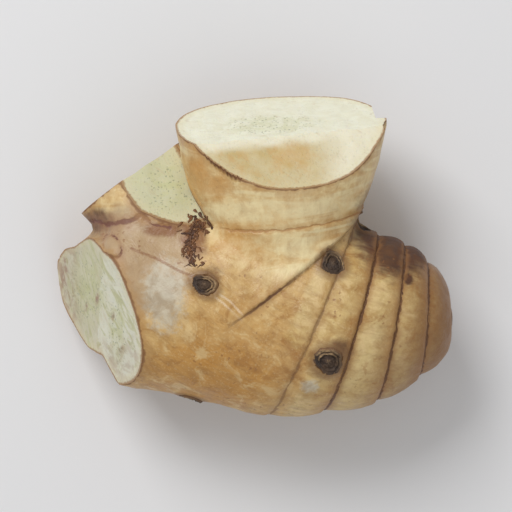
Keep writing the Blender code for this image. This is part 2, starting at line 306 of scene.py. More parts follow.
def scar_radius(place, seat):
    """Scaled distance from a scar's middle: 1 on its rim, and large on the far side of the root."""
    offset = place - seat["spot"]
    length, width = seat["half"]
    flat = np.hypot((offset @ seat["long"]) / length, (offset @ seat["short"]) / width)
    return np.hypot(flat, (offset @ seat["out"]) / (2 * length))


def scar_cushion(radius):
    """The skin's low swelling round a scar."""
    return SCAR_CUSHION * np.exp(-np.square(np.maximum(radius - 0.9, 0) / 0.55))


def ellipse_radius(x, y, middle, radii, turn=0.0):
    """Scaled distance from the middle of a turned ellipse: 1 on its rim."""
    x, y = x - middle[0], y - middle[1]
    run, climb = math.cos(turn), math.sin(turn)
    return np.hypot((x * run + y * climb) / radii[0], (y * run - x * climb) / radii[1])


def bud_radius(place):
    """Scaled distance from the middle of the small dormant bud, seen from above."""
    near = ellipse_radius(place[:, 0], place[:, 1], BUD["middle"], BUD["half"], BUD["turn"])
    return np.where(place[:, 2] > 0, near, FAR_AWAY)


def skin_relief(place):
    """The relief with the bud, a swelling round every scar, and a hollow for the dry stump in it."""
    height = relief(place) + BUD["height"] * np.sqrt(np.clip(1 - np.square(bud_radius(place)), 0, 1))
    for seat in SCAR_SEATS:
        radius = scar_radius(place, seat)
        height = height + scar_cushion(radius) - SCAR_HOLLOW * (1 - step_up(radius, 0.6, 0.9))
    return height


def settle_on(form, place, rounds=1):
    """Move points straight onto the surface where a distance is zero."""
    for _ in range(rounds):
        slope = slope_of(form, place)
        size = np.maximum(np.square(slope).sum(axis=1), 0.05)
        move = (form(place) / size)[:, None] * slope
        length = np.linalg.norm(move, axis=1, keepdims=True)
        place = place - move * np.minimum(1, 3.0 / np.maximum(length, 1e-9))
    return place


def cube_patches(count):
    """Six square grids of points on a cube, even in angle, as (6, count + 1, count + 1, 3)."""
    line = np.tan(np.linspace(-math.pi / 4, math.pi / 4, count + 1))
    u, v = np.meshgrid(line, line, indexing="ij")
    one = np.ones_like(u)
    sides = ((one, u, v), (-one, v, u), (v, one, u), (u, -one, v), (u, v, one), (v, u, -one))
    return np.stack([np.stack(side, axis=-1) for side in sides])


def weld(grids):
    """The distinct points of joined grids: the first place of each, and every point's number."""
    flat = np.round(grids.reshape(-1, 3), 6)
    _, first, number = np.unique(flat, axis=0, return_index=True, return_inverse=True)
    return first, number.reshape(grids.shape[:-1])


def grid_faces(number):
    """The four corners of every cell of a stack of grids."""
    corners = (number[:, :-1, :-1], number[:, 1:, :-1], number[:, 1:, 1:], number[:, :-1, 1:])
    return np.stack(corners, axis=-1).reshape(-1, 4)


def neighbours_of(faces, count):
    """Up to four neighbours of every point, and their weights."""
    pairs = np.concatenate([faces[:, (k, (k + 1) % 4)] for k in range(4)])
    pairs = np.unique(np.sort(pairs, axis=1), axis=0)
    both = np.concatenate([pairs, pairs[:, ::-1]])
    both = both[np.argsort(both[:, 0], kind="stable")]
    start = np.searchsorted(both[:, 0], np.arange(count))
    degree = np.bincount(both[:, 0], minlength=count)[:, None]
    slot = np.arange(4)[None, :]
    near = both[np.minimum(start[:, None] + np.minimum(slot, degree - 1), len(both) - 1), 1]
    weight = (slot < degree).astype(float)
    return near, weight / weight.sum(axis=1, keepdims=True)


def wrap(form, centre, sizes):
    """A closed grid laid on a form: six patches are marched out from a centre onto the surface,
    evened out by moving each point towards its neighbours' mean, and doubled in number."""
    grid = None
    for count, rounds in sizes:
        cube = cube_patches(count)
        first, number = weld(cube)
        if grid is None:
            way = unit(cube.reshape(-1, 3)[first])
            reach = np.ones(len(way))
            for _ in range(80):
                reach -= form(np.asarray(centre) + way * reach[:, None]) * 0.6
            place = np.asarray(centre) + way * reach[:, None]
        else:
            finer = np.empty((6, count + 1, count + 1, 3))
            finer[:, ::2, ::2] = grid
            finer[:, 1::2, ::2] = (grid[:, 1:] + grid[:, :-1]) / 2
            finer[:, :, 1::2] = (finer[:, :, 2::2] + finer[:, :, :-1:2]) / 2
            place = finer.reshape(-1, 3)[first]
        faces = grid_faces(number)
        near, weight = neighbours_of(faces, len(first))
        for _ in range(rounds):
            mean = (place[near] * weight[:, :, None]).sum(axis=1)
            place = settle_on(form, place + 0.7 * (mean - place))
        grid = place[number]
    return place, faces


def solid(name, place, faces, coats=()):
    """An object, shaded smooth, from points in millimetres about the rhizome's middle."""
    mesh = bpy.data.meshes.new(name)
    mesh.from_pydata((place - FRAME_ORIGIN) / 1000, [], faces)
    for coat in coats:
        mesh.materials.append(coat)
    mesh.shade_smooth()
    made = bpy.data.objects.new(name, mesh)
    bpy.context.scene.collection.objects.link(made)
    return made


def blade_ways(cut):
    """The way that a blade faces, and the two ways across its path."""
    facing = unit(cut[1])
    side = unit((1, 0, 0) - facing * facing[0])
    return facing, side, np.cross(facing, side)


def two_sheets(rows, columns):
    """The faces of two stacked grids of points, back to back, and of the walls that join them."""
    number = np.arange(2 * rows * columns).reshape(2, rows, columns)
    edges = (number[:, :-1, 0], number[:, -1, :-1], number[:, :0:-1, -1], number[:, 0, :0:-1])
    rim = np.concatenate(edges, axis=1)
    walls = np.stack([rim[0], np.roll(rim[0], -1), np.roll(rim[1], -1), rim[1]], axis=1)
    return np.concatenate([grid_faces(number[:1])[:, ::-1], grid_faces(number[1:]), walls])


def blade(cut, coat, cell=0.42):
    """A block whose near side is the cut surface: a fine grid that follows the blade's path with
    shallow marks across it and sinks where it meets deep flesh. Its far side is flat."""
    facing, side, other = blade_ways(cut)
    half = cut[2]
    count = int(2 * half / cell)
    line = np.linspace(-half, half, count + 1)
    u, v = (line.ravel() for line in np.meshgrid(line, line, indexing="ij"))
    flat = np.asarray(cut[0]) + u[:, None] * side + v[:, None] * other
    depth = np.maximum(-grown(flat), 0)
    marks = 0.05 * np.sin(u * 1.1 + 0.5 * np.sin(v * 0.4)) + waves(flat, **KNIFE_MARKS)
    sink = FLESH_SINK * (1 - np.exp(-depth / SINK_DEPTH)) + marks * np.clip(depth / MARKS_DEPTH, 0, 1)
    place = np.concatenate([flat - facing * sink[:, None], flat + facing * 2 * half])
    return solid("blade", place, two_sheets(count + 1, count + 1), [coat])


def take_away(subject, tool):
    """Cut the subject where the tool is, and remove the tool."""
    step = subject.modifiers.new("cut", "BOOLEAN")
    step.operation = "DIFFERENCE"
    step.solver = "MANIFOLD"
    step.material_mode = "TRANSFER"
    step.object = tool
    bpy.context.view_layer.update()
    evaluated = subject.evaluated_get(bpy.context.evaluated_depsgraph_get())
    subject.data = bpy.data.meshes.new_from_object(evaluated)
    subject.modifiers.clear()
    bpy.data.objects.remove(tool)


# The rhizome itself, in one piece: the grown form, cut on the outside by the blades, and the stem
# standing in front of the shoot's cut.
skin = bpy.data.materials.new("galangal skin")
flesh = bpy.data.materials.new("galangal flesh")
place, faces = wrap(rough_root, (2, -4, 0), ((7, 40), (14, 30), (28, 20), (56, 8), (112, 4)))
place = settle_on(lambda p: rough_root(p) - skin_relief(p), place, 3)
rhizome = solid("rhizome", place, faces, [skin, flesh])
for cut in STEM_CUTS + OLD_END_CUTS:
    take_away(rhizome, blade(cut, flesh))
stem_place, stem_faces = wrap(stem_sleeve, (3.5, 10, 4), ((5, 40), (10, 30), (20, 20), (40, 8), (80, 4)))
stem_place = settle_on(lambda p: stem_sleeve(p) - relief(p), stem_place, 3)
for cut in SHOOT_CUTS:
    knife = blade(cut, flesh)
    take_away(knife, solid("stem", stem_place, stem_faces, [skin]))
    take_away(rhizome, knife)
take_away(rhizome, blade(REST_CUT, skin, 1.0))
mesh = rhizome.data
mesh.shade_smooth()
mesh.set_sharp_from_angle(angle=math.radians(38))
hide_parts("galangal_root")
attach(rhizome, "root")


# What the skin and the flesh need to know at each point is kept on the mesh: how far it is from a
# ring, crease, cut or vein, which part of the root it is on, and which way the fibres run.
VEINS = (((-22.0, 2.7), (-17.5, 0.9), (-13.6, -1.2), (-11.0, -2.2)),)
SCRATCHES = (((-7.6, -5.6), (-6.2, -6.6), (-3.0, -9.6)), ((-6.9, -5.0), (-4.9, -6.4), (-2.9, -8.6)))
BUD_MARKS = (((-29.4, 7.4), (-28.6, 7.5), (-26.2, 6.9), (-22.0, 7.5), (-20.2, 8.7), (-18.4, 6.8),
              (-15.4, 6.4)),)
# The skin's coloured zones, each a few soft ellipses seen from above: strength, middle and radii.
ZONES = {
    "grey_share": ((1.3, (-20.5, 1.5), (12.0, 12.5)),),
    # The pale share is the whitish film on the older end; its small spot low on the ringed body is a painted
    # reflection.
    "pale_film_and_reflection_share": ((1.25, (-16.2, -5.2), (5.0, 8.2)), (1.1, (8.6, -21.0), (2.1, 1.7))),
    # The purple-brown share is the skin's own stain; its large zone over the upper rings near the tip is
    # partly painted shadow.
    "purple_stain_and_shadow_share": (
        (1.35, (24.0, 6.0), (9.5, 10.0)), (0.85, (-28.5, 7.4), (4.0, 3.0)), (1.3, (25.6, -2.5), (1.1, 1.3)),
        (0.75, (13.8, -14.4), (2.9, 2.4)), (0.65, (-8.2, -1.8), (2.6, 2.2))),
    "rust_share": ((1.2, (-11.3, 5.2), (3.4, 6.4)), (1.0, (-16.5, 6.0), (5.0, 1.9))),
    "orange_share": (
        (1.2, (-8.0, -19.0), (16.0, 9.0)), (0.7, (-3.5, 4.0), (9.5, 6.0)), (0.6, (-3.0, -12.0), (14.0, 10.0)),
        (0.9, (-7.0, 13.0), (4.0, 3.5)), (0.9, (-11.0, 15.0), (5.0, 7.5))),
}
# The tint of the flesh on each cut, in the order that the numbers below give.
# Their hues are the flesh's own; part of their brightness is painted light, paler on faces that met the
# light, such as the stem's top face and the older end's strip.
FACE_TINTS_AND_SHADES = (
    (STEM_CUT, (0.85, 0.84, 0.67)),
    (STEM_BEVEL_CUT, (0.84, 0.79, 0.61)),
    (STEM_CORNER_CUT, (0.76, 0.72, 0.52)),
    (OLD_END_CUT, (0.60, 0.56, 0.40)),
    (OLD_END_STRIP_CUT, (0.74, 0.73, 0.60)),
    (SHOOT_CUT, (0.58, 0.57, 0.38)),
    (SHOOT_BACK_CUT, (0.64, 0.58, 0.42)),
)
ON_BEVEL, ON_CORNER, ON_END, ON_STRIP, ON_SHOOT = 1, 2, 3, 4, 5
OCHRE_STAIN, RUSTY_SPOT_STAIN = (-0.27, -0.36, -0.43), (0.05, -0.05, -0.06)
RUSTY_SPOT = ((5.5, 18.6), (4.5, 3.2))
# Middle and radii of the green core in each cut, across and deep in the stem, or from above.
STEM_CORE, SHOOT_CORE = ((-1.4, -0.6), (8.2, 4.6)), ((-16.0, 14.0), (14.0, 14.0))
END_CORE, STRIP_CORE = ((-30.2, -4.0), (3.6, 6.5)), ((-24.6, -12.0), (1.6, 5.5))
BRUISES = ((-25.3, -9.3, 70), (-24.1, -14.8, 60), (-28.3, -6.0, 80), (-30.6, -7.6, 75))
BRUISE_HALF = (1.5, 0.5)


def blob(place, middle, radii):
    """1 in the middle of an ellipse on the upper side, and 0 at its rim and beyond."""
    near = np.square(ellipse_radius(place[:, 0], place[:, 1], middle, radii))
    return np.clip(1 - near, 0, 1) * step_up(place[:, 2], -2.0, 3.0)


def line_gap(place, lines):
    """Least distance, seen from above, to lines through points, and far away on the under side."""
    best = np.full(len(place), FAR_AWAY)
    flat = place[:, :2]
    for line in lines:
        for first, second in zip(line, line[1:]):
            run = np.subtract(second, first)
            share = np.clip(((flat - first) @ run) / run.dot(run), 0, 1)
            best = np.minimum(best, np.linalg.norm(flat - first - share[:, None] * run, axis=1))
    return np.where(place[:, 2] > 0, best, FAR_AWAY)


def rim_gap(place):
    """Least distance to the path of a cut, within the blade's width and off skin it never met."""
    off_stem = (stalk(place, STEM) > 0.8) | (beyond(place, SHOOT_BACK_CUT) < -1.5)
    best = np.full(len(place), FAR_AWAY)
    for cut in STEM_CUTS + TRUNK_CUTS:
        facing, side, other = blade_ways(cut)
        offset = place - cut[0]
        met = np.maximum(np.abs(offset @ side), np.abs(offset @ other)) < cut[2]
        if cut in SHOOT_CUTS:
            met &= off_stem
        best = np.where(met, np.minimum(best, np.abs(offset @ facing)), best)
    return best


def mark(mesh, name, values):
    """Keep a value or a vector for every point of a mesh."""
    kind, slot = ("FLOAT", "value") if values.ndim == 1 else ("FLOAT_VECTOR", "vector")
    layer = mesh.attributes.new(name, kind, "POINT")
    layer.data.foreach_set(slot, np.ascontiguousarray(values, np.float32).ravel())


def read(mesh, what):
    """A vector of every point of a mesh, its place or its normal."""
    flat = np.empty(len(mesh.vertices) * 3, np.float32)
    mesh.vertices.foreach_get(what, flat)
    return flat.reshape(-1, 3).astype(float)


def skin_marks(mesh, place):
    """The gaps, shares and fibre ways that the skin's colours follow."""
    x, y, z = place.T
    index, angle = ring_index(place)
    along, across, deep, _, _ = station_of(place, STEM)
    crease, waist = crease_gap(place), waist_gap(place)
    radius = np.hypot(x - RING_PIVOT[0], y - RING_PIVOT[1])
    steps = np.diff(RING_ANGLES)[np.clip(index.astype(int), 0, len(RING_ANGLES) - 2)]
    body = step_up(-crease, -0.3, 0.3)
    crease_show = crease_reach(place) * step_up(25 - along, 0, 4) * step_up(20.5 - across, 0, 4)
    bud_line = np.abs(bud_radius(place) - 1.05) * 3.4 + 0.25 * step_up(-x - 25.5, -0.5, 1.0)
    scars = np.min([scar_radius(place, seat) for seat in SCAR_SEATS], axis=0)
    marks = {
        "ring_number": index,
        "ring_width": radius * np.radians(steps),
        "ring_show": ring_strength(place),
        "crease_gap": crease,
        "crease_show": crease_show * (0.25 + 0.75 * step_up(8.0 - x, 0, 5)),
        "waist_gap": waist,
        "waist_show": step_up(x, -9.0, -3.0) * step_up(along, 8.0, 12.0),
        "vein_gap": line_gap(place, VEINS),
        "scratch_gap": line_gap(place, SCRATCHES),
        "bud_gap": np.minimum(line_gap(place, BUD_MARKS), bud_line),
        "rim_gap": rim_gap(place),
        "scar_radius": np.minimum(scars, FAR_AWAY),
        "stem_share": step_up(crease, -0.2, 0.3) * step_up(along + 0.25 * x, 4.0, 10.0),
        "straw_share": body * step_up(index - 0.7 * step_up(-y, 12, 18), 1.2, 1.9),
        # Darker brown towards the tip and towards the body's upper and lower edges there: partly the tip's
        # own browner skin, partly painted shade.
        "tip_brown_and_shade_share": body * step_up(index + 0.05 * (x - 30) + 0.05 * np.abs(y + 8), 2.3, 6.4),
        # Painted shade: the skin is darker orange-brown lower down the sides, towards the table.
        "low_side_shade_share": step_up(7.0 - z, 0.0, 12.0),
        "body_grain": np.stack([radius * np.radians(angle) / 5, radius, z], axis=1),
        "stem_grain": np.stack([across, along / 5, deep], axis=1),
        "stem_band": np.stack([across / 6, waist, deep / 6], axis=1),
    }
    for name, blobs in ZONES.items():
        marks[name] = np.max([strength * blob(place, *oval) for strength, *oval in blobs], axis=0)
    for name, values in marks.items():
        mark(mesh, name, values)


def flesh_marks(mesh, place):
    """How deep each point of a cut lies under the skin, its tint, and where the cores are. The cut
    that a point is on is the one whose path is nearest and whose facing is nearest the normal."""
    x, y, _ = place.T
    _, across, deep, _, _ = station_of(place, STEM)
    normal = read(mesh, "normal")
    gaps = [np.abs(beyond(place, cut)) + 6 * (1 - normal @ unit(cut[1])) for cut, _ in FACE_TINTS_AND_SHADES]
    face = np.argmin(gaps, axis=0)
    bevel = (face == ON_BEVEL) * 1.0
    old_end = (face == ON_END) | (face == ON_STRIP)
    # The ochre stops short of the ridge with the top face; the pale band left along the ridge is a painted
    # highlight.
    ridge = np.abs(beyond(place, STEM_CUT)) / 0.6 + 0.8 * np.sin(0.9 * x) * np.cos(0.4 * y)
    ochre = bevel * step_up(ridge, 1.0, 3.2) * step_up(15.5 - x, 0, 8)
    spot = bevel * np.clip(1 - ellipse_radius(x, y, *RUSTY_SPOT), 0, 1)
    tint = np.array([colour for _, colour in FACE_TINTS_AND_SHADES])[face]
    end_core = np.minimum(ellipse_radius(x, y, *END_CORE), ellipse_radius(x, y, *STRIP_CORE))
    core = np.where(face >= ON_SHOOT, 0.55 + ellipse_radius(x, y, *SHOOT_CORE), end_core)
    core = np.where(face <= ON_CORNER, ellipse_radius(across, deep, *STEM_CORE) + 2 * bevel, core)
    bruise = (face == ON_END) * step_up(-x - 30.5, 0, 4.5) + (face == ON_STRIP) * step_up(-y, 11, 16) * 0.4
    for *middle, turn in BRUISES:
        near = ellipse_radius(x, y, middle, BRUISE_HALF, math.radians(turn))
        bruise = np.maximum(bruise, 1.6 * np.clip(1 - near, 0, 1) * old_end)
    mark(mesh, "skin_depth", np.maximum(-grown(place), 0))
    mark(mesh, "face_tint_and_shade", tint + ochre[:, None] * OCHRE_STAIN + spot[:, None] * RUSTY_SPOT_STAIN)
    mark(mesh, "ochre_share", ochre)
    mark(mesh, "core_radius", core)
    mark(mesh, "green_share", np.where(face <= ON_CORNER, 0.55, 1.0) * step_up(1.3 - core, 0, 0.8))
    mark(mesh, "end_share", (old_end | (face == ON_CORNER)) * 1.0)
    mark(mesh, "bruise_share", bruise)


mesh_places = read(mesh, "co") * 1000 + FRAME_ORIGIN
skin_marks(mesh, mesh_places)
flesh_marks(mesh, mesh_places)


# The skin: thin, waxy and satin, ochre on the stem and the older end and straw on the young rings,
# with dark scales left at every ring and crease. Its colours are laid over one another by shares.
# Some of the shares are painted light: sheen on the stem, shade at the ring pillows, the tip and the lower
# sides, shadow over the upper rings and a reflection low on the body.
def node(kind, inputs=(), tree=None, **settings):
    """A shader node with its settings. Each input is set to a value or joined to an output, and the
    node goes into that output's tree."""
    joined = {key: value for key, value in dict(inputs).items() if isinstance(value, bpy.types.NodeSocket)}
    tree = tree or next(iter(joined.values())).id_data
    made = tree.nodes.new("ShaderNode" + kind)
    for key, value in settings.items():
        setattr(made, key, value)
    for key, value in dict(inputs).items():
        if key in joined:
            tree.links.new(value, made.inputs[key])
        else:
            made.inputs[key].default_value = value
    return made


def counted(operation, first, second=0.0):
    """Arithmetic on two values."""
    return node("Math", {0: first, 1: second}, operation=operation).outputs[0]


def times(first, second):
    """The product of two values."""
    return counted("MULTIPLY", first, second)


def plus(first, second):
    """The sum of two values."""
    return counted("ADD", first, second)


def minus(first, second):
    """The first value less the second."""
    return counted("SUBTRACT", first, second)


def uneven(value, noise, amount):
    """A value with an amount of noise added."""
    return plus(value, times(noise, amount))


def rise(value, low, high, bottom=0.0, top=1.0):
    """A smooth rise of a value between two levels, or a fall where the first is the higher."""
    inputs = {"Value": value, "From Min": low, "From Max": high, "To Min": bottom, "To Max": top}
    return node("MapRange", inputs, interpolation_type="SMOOTHSTEP").outputs["Result"]


def blend(share, first, second):
    """Two colours mixed by a share. A colour of three numbers is opaque."""
    first, second = [colour + (1,) if isinstance(colour, tuple) else colour for colour in (first, second)]
    inputs = {0: share, 6: first, 7: second}
    return node("Mix", inputs, data_type="RGBA", clamp_factor=True).outputs[2]


def laid_over(base, layers):
    """Colours laid over a base one after another, each by its share."""
    for share, colour in layers:
        base = blend(share, base, colour)
    return base


def cloud(place, size, detail=3.0, rough=0.55, twist=0.0):
    """Noise with features of a size in millimetres."""
    inputs = {"Vector": place, "Scale": 1.0 / size, "Detail": detail, "Roughness": rough, "Distortion": twist}
    return node("TexNoise", inputs).outputs[0]


def told(tree, name, output="Fac"):
    """A mark kept on the mesh."""
    return node("Attribute", tree=tree, attribute_name=name).outputs[output]


def scaled_by(vector, scale):
    """A vector made longer."""
    return node("VectorMath", {0: vector, 3: scale}, operation="SCALE").outputs[0]


def group(name, inputs, outputs):
    """An empty node group with named sockets, of which Place is a vector."""
    made = bpy.data.node_groups.new(name, "ShaderNodeTree")
    for side, labels in (("INPUT", inputs), ("OUTPUT", outputs)):
        for label in labels:
            kind = "NodeSocketVector" if label == "Place" else "NodeSocketFloat"
            made.interface.new_socket(label, in_out=side, socket_type=kind)
    return made, made.nodes.new("NodeGroupInput").outputs, made.nodes.new("NodeGroupOutput").inputs


def placed(shared, **inputs):
    """A shared group placed in a material."""
    return node("Group", inputs, node_tree=shared).outputs


mottling, given, result = group("mottling", ["Place"], ["Broad", "Middle", "Fine"])
broad = rise(cloud(given["Place"], 9.0, 3.0, 0.6, 0.4), 0.33, 0.67)
middle = rise(cloud(given["Place"], 2.4, 4.0, 0.62, 0.6), 0.32, 0.68)
mottling.links.new(broad, result["Broad"])
mottling.links.new(middle, result["Middle"])
mottling.links.new(cloud(given["Place"], 0.45, 3.0, 0.6), result["Fine"])

broken_line, given, result = group("broken line", ["Place", "Gap", "Width"], ["Line", "Halo"])
wander = minus(cloud(given["Place"], 1.6, 2.0), 0.5)
gap = counted("ABSOLUTE", uneven(given["Gap"], wander, 0.7))
patchy = rise(cloud(given["Place"], 3.4, 3.0, 0.7), 0.28, 0.62, 0.35, 1.5)
near = counted("DIVIDE", gap, times(given["Width"], patchy))
broken_line.links.new(rise(near, 1.1, 0.35), result["Line"])
broken_line.links.new(rise(near, 4.5, 0.6), result["Halo"])

specks, given, result = group("specks", ["Place", "Size", "Share"], ["Speck"])
scaled = scaled_by(given["Place"], counted("DIVIDE", 1.0, given["Size"]))
bent = node("TexNoise", {"Vector": scaled, "Scale": 2.1, "Detail": 2.0}).outputs[1]
moved = node("VectorMath", {0: scaled, 1: bent}, operation="ADD").outputs[0]
cells = node("TexVoronoi", {"Vector": moved, "Scale": 1.0}).outputs
drawn = node("SeparateColor", {0: cells["Color"]}).outputs[0]
drawn = counted("LESS_THAN", drawn, given["Share"])
specks.links.new(times(rise(cells["Distance"], 0.34, 0.16), drawn), result["Speck"])


def opened(coat):
    """A material's node tree, the place on the piece in millimetres, and the mottling there."""
    coat.use_nodes = True
    tree = coat.node_tree
    place = scaled_by(node("TexCoord", tree=tree).outputs["Object"], 1000.0)
    spots = placed(mottling, Place=place)
    return tree, place, spots["Broad"], spots["Middle"], spots["Fine"]


def surface(coat, colour, roughness, height, strength, distance):
    """Join a colour, a roughness and a bump's height to the material's Principled shader."""
    tree = coat.node_tree
    shader = tree.nodes["Principled BSDF"]
    bump = node("Bump", {"Strength": strength, "Distance": distance, "Height": height})
    tree.links.new(colour, shader.inputs["Base Color"])
    tree.links.new(roughness, shader.inputs["Roughness"])
    tree.links.new(bump.outputs["Normal"], shader.inputs["Normal"])
    return shader


def paint_skin(coat):
    """Lay the skin's colours over each other: base, zones, fibres, specks, then dark lines."""
    tree, place, broad, middle, fine = opened(coat)
    wave = minus(cloud(place, 3.0, 4.0, 0.65), 0.5)
    flaky = minus(cloud(place, 1.3, 5.0, 0.7), 0.5)
    patches = cloud(place, 4.2, 4.0, 0.66, 0.8)
    sheen = cloud(told(tree, "stem_band", "Vector"), 2.6, 2.5, 0.5, 1.2)
    body_fibre = cloud(told(tree, "body_grain", "Vector"), 1.1, 4.0, 0.65, 0.3)
    stem_fibre = cloud(told(tree, "stem_grain", "Vector"), 1.1, 4.0, 0.65, 0.3)
    stem, show = told(tree, "stem_share"), told(tree, "ring_show")
    fibre = node("Mix", {0: stem, 2: body_fibre, 3: stem_fibre}, data_type="FLOAT").outputs[0]

    def zone(name, low, high, top=1.0, ragged=0.9):
        """A zone's share with a ragged edge."""
        return rise(uneven(told(tree, name), wave, ragged), low, high, 0.0, top)

    def less_on_stem(share, off, on):
        """A share times one value off the stem and another on it."""
        return times(share, rise(stem, 0.0, 1.0, off, on))

    ochre = blend(middle, (0.38, 0.175, 0.036), (0.61, 0.355, 0.11))
    ochre = blend(times(broad, 0.6), ochre, (0.70, 0.47, 0.18))
    straw = blend(middle, (0.44, 0.25, 0.065), (0.66, 0.46, 0.17))
    straw = blend(times(broad, 0.55), straw, (0.74, 0.59, 0.29))
    pale = blend(middle, (0.68, 0.45, 0.19), (0.82, 0.67, 0.36))
    pale_stem_and_sheen = times(stem, uneven(0.3, broad, 0.7))
    number = told(tree, "ring_number")
    part = counted("FRACT", number)
    band = plus(rise(part, 0.45, 1.0, 0.0, 0.7), rise(part, 0.25, 0.0, 0.0, 0.3))
    pale_film_and_reflection_share = told(tree, "pale_film_and_reflection_share")
    film_and_reflection = rise(uneven(pale_film_and_reflection_share, flaky, 2.2), 0.15, 1.1, 0.0, 0.8)
    marbled = rise(cloud(place, 2.4, 4.0, 0.6, 0.6), 0.35, 0.62)
    stain_and_shadow = uneven(told(tree, "purple_stain_and_shadow_share"), minus(body_fibre, 0.5), 0.6)
    crowd = rise(cloud(place, 7.0, 2.0), 0.42, 0.62, 0.15, 1.0)
    dots = placed(specks, Place=place, Size=0.95, Share=0.22)["Speck"]
    scratch = rise(uneven(told(tree, "scratch_gap"), fine, 0.25), 0.42, 0.18)
    vein = rise(uneven(told(tree, "vein_gap"), fine, 0.25), 0.50, 0.24, 0.0, 0.75)
    base = laid_over(ochre, (
        (zone("straw_share", 0.3, 0.7), straw),
        # The stem's own paler skin, lightened further as a painted waxy sheen.
        (rise(pale_stem_and_sheen, 0.1, 0.75, 0.15, 0.92), pale),
        # Painted sheen: pale waxy highlights in bands round the stem.
        (times(rise(sheen, 0.40, 0.66, 0.0, 0.72), stem), (0.86, 0.74, 0.43)),
        (zone("orange_share", 0.25, 0.95, 0.72), (0.54, 0.25, 0.042)),
        (rise(patches, 0.52, 0.66, 0.0, 0.68), (0.76, 0.56, 0.27)),
        (less_on_stem(rise(patches, 0.46, 0.33, 0.0, 0.6), 1.0, 0.35), (0.36, 0.155, 0.03)),
        # Painted shade of the pillow between two rings: darker towards the rings at both ends.
        (times(band, show), (0.40, 0.195, 0.05)),
        (less_on_stem(rise(fibre, 0.35, 0.75, 0.0, 0.38), 1.0, 0.4), (0.33, 0.165, 0.05)),
        (rise(fine, 0.52, 0.75, 0.0, 0.32), (0.80, 0.63, 0.33)),
        # Partly the tip's own browner skin, partly painted shade towards the tip and the body's edges.
        (zone("tip_brown_and_shade_share", 0.0, 1.1, 0.92, 0.5), (0.23, 0.095, 0.026)),
        # Painted shade: darker orange-brown lower down the sides, towards the table.
        (zone("low_side_shade_share", 0.1, 1.0, 0.36, 0.6), (0.41, 0.195, 0.045)),
        (zone("grey_share", 0.25, 0.75, 0.78), (0.44, 0.31, 0.185)),
        # A greyish marbled film, and at the small spot low on the ringed body a painted reflection.
        (times(film_and_reflection, rise(pale_film_and_reflection_share, 0.0, 0.25)),
         blend(marbled, (0.45, 0.37, 0.26), (0.60, 0.55, 0.43))),
        (zone("rust_share", 0.25, 0.95, 0.88), (0.23, 0.082, 0.02)),
        # Near-black purple-brown: the skin's own stain, and partly painted shadow over the upper rings near
        # the tip.
        (rise(uneven(stain_and_shadow, wave, 0.5), 0.0, 0.9, 0.0, 0.95),
         blend(middle, (0.052, 0.014, 0.005), (0.098, 0.030, 0.008))),
        (times(dots, less_on_stem(crowd, 0.7, 0.2)), (0.26, 0.105, 0.03)),
        (times(scratch, rise(wave, -0.15, 0.1, 0.2, 0.75)), (0.82, 0.65, 0.45)),
        (vein, (0.27, 0.12, 0.045)),
    ))
    away = minus(number, counted("ROUND", number))
    dark = 0.0
    # The dark lines: gap, width, share, depth, colour and the colour of the stain beside it.
    for gap, width, share, depth, colour, halo in (
            (times(away, told(tree, "ring_width")), 0.24, show, 0.85,
             (0.11, 0.04, 0.014), (0.33, 0.15, 0.042)),
            (told(tree, "crease_gap"), 0.27, told(tree, "crease_show"), 0.9,
             (0.12, 0.045, 0.015), (0.38, 0.18, 0.05)),
            (told(tree, "waist_gap"), 0.2, told(tree, "waist_show"), 0.6,
             (0.34, 0.14, 0.035), (0.48, 0.27, 0.09)),
            (told(tree, "bud_gap"), 0.42, 1.0, 0.75, (0.15, 0.045, 0.035), (0.36, 0.19, 0.10)),
            (told(tree, "rim_gap"), 0.3, 1.0, 0.8, (0.20, 0.085, 0.03), (0.45, 0.24, 0.08))):
        line = placed(broken_line, Place=place, Gap=gap, Width=width)
        base = blend(times(times(line["Halo"], share), 0.55), base, halo)
        here = times(times(line["Line"], share), depth)
        base = blend(here, base, colour)
        dark = counted("MAXIMUM", dark, here)
    scar = uneven(told(tree, "scar_radius"), wave, 0.5)
    base = blend(rise(scar, 1.75, 1.0, 0.0, 0.75), base, (0.21, 0.105, 0.04))
    height = plus(times(fibre, 0.55), times(fine, 0.3))
    dull = counted("MAXIMUM", dark, zone("purple_stain_and_shadow_share", 0.2, 1.0))
    rough = uneven(rise(middle, 0.0, 1.0, 0.34, 0.50), dull, 0.25)
    surface(coat, base, rough, uneven(height, dark, -0.6), 0.55, 0.0004)


paint_skin(skin)


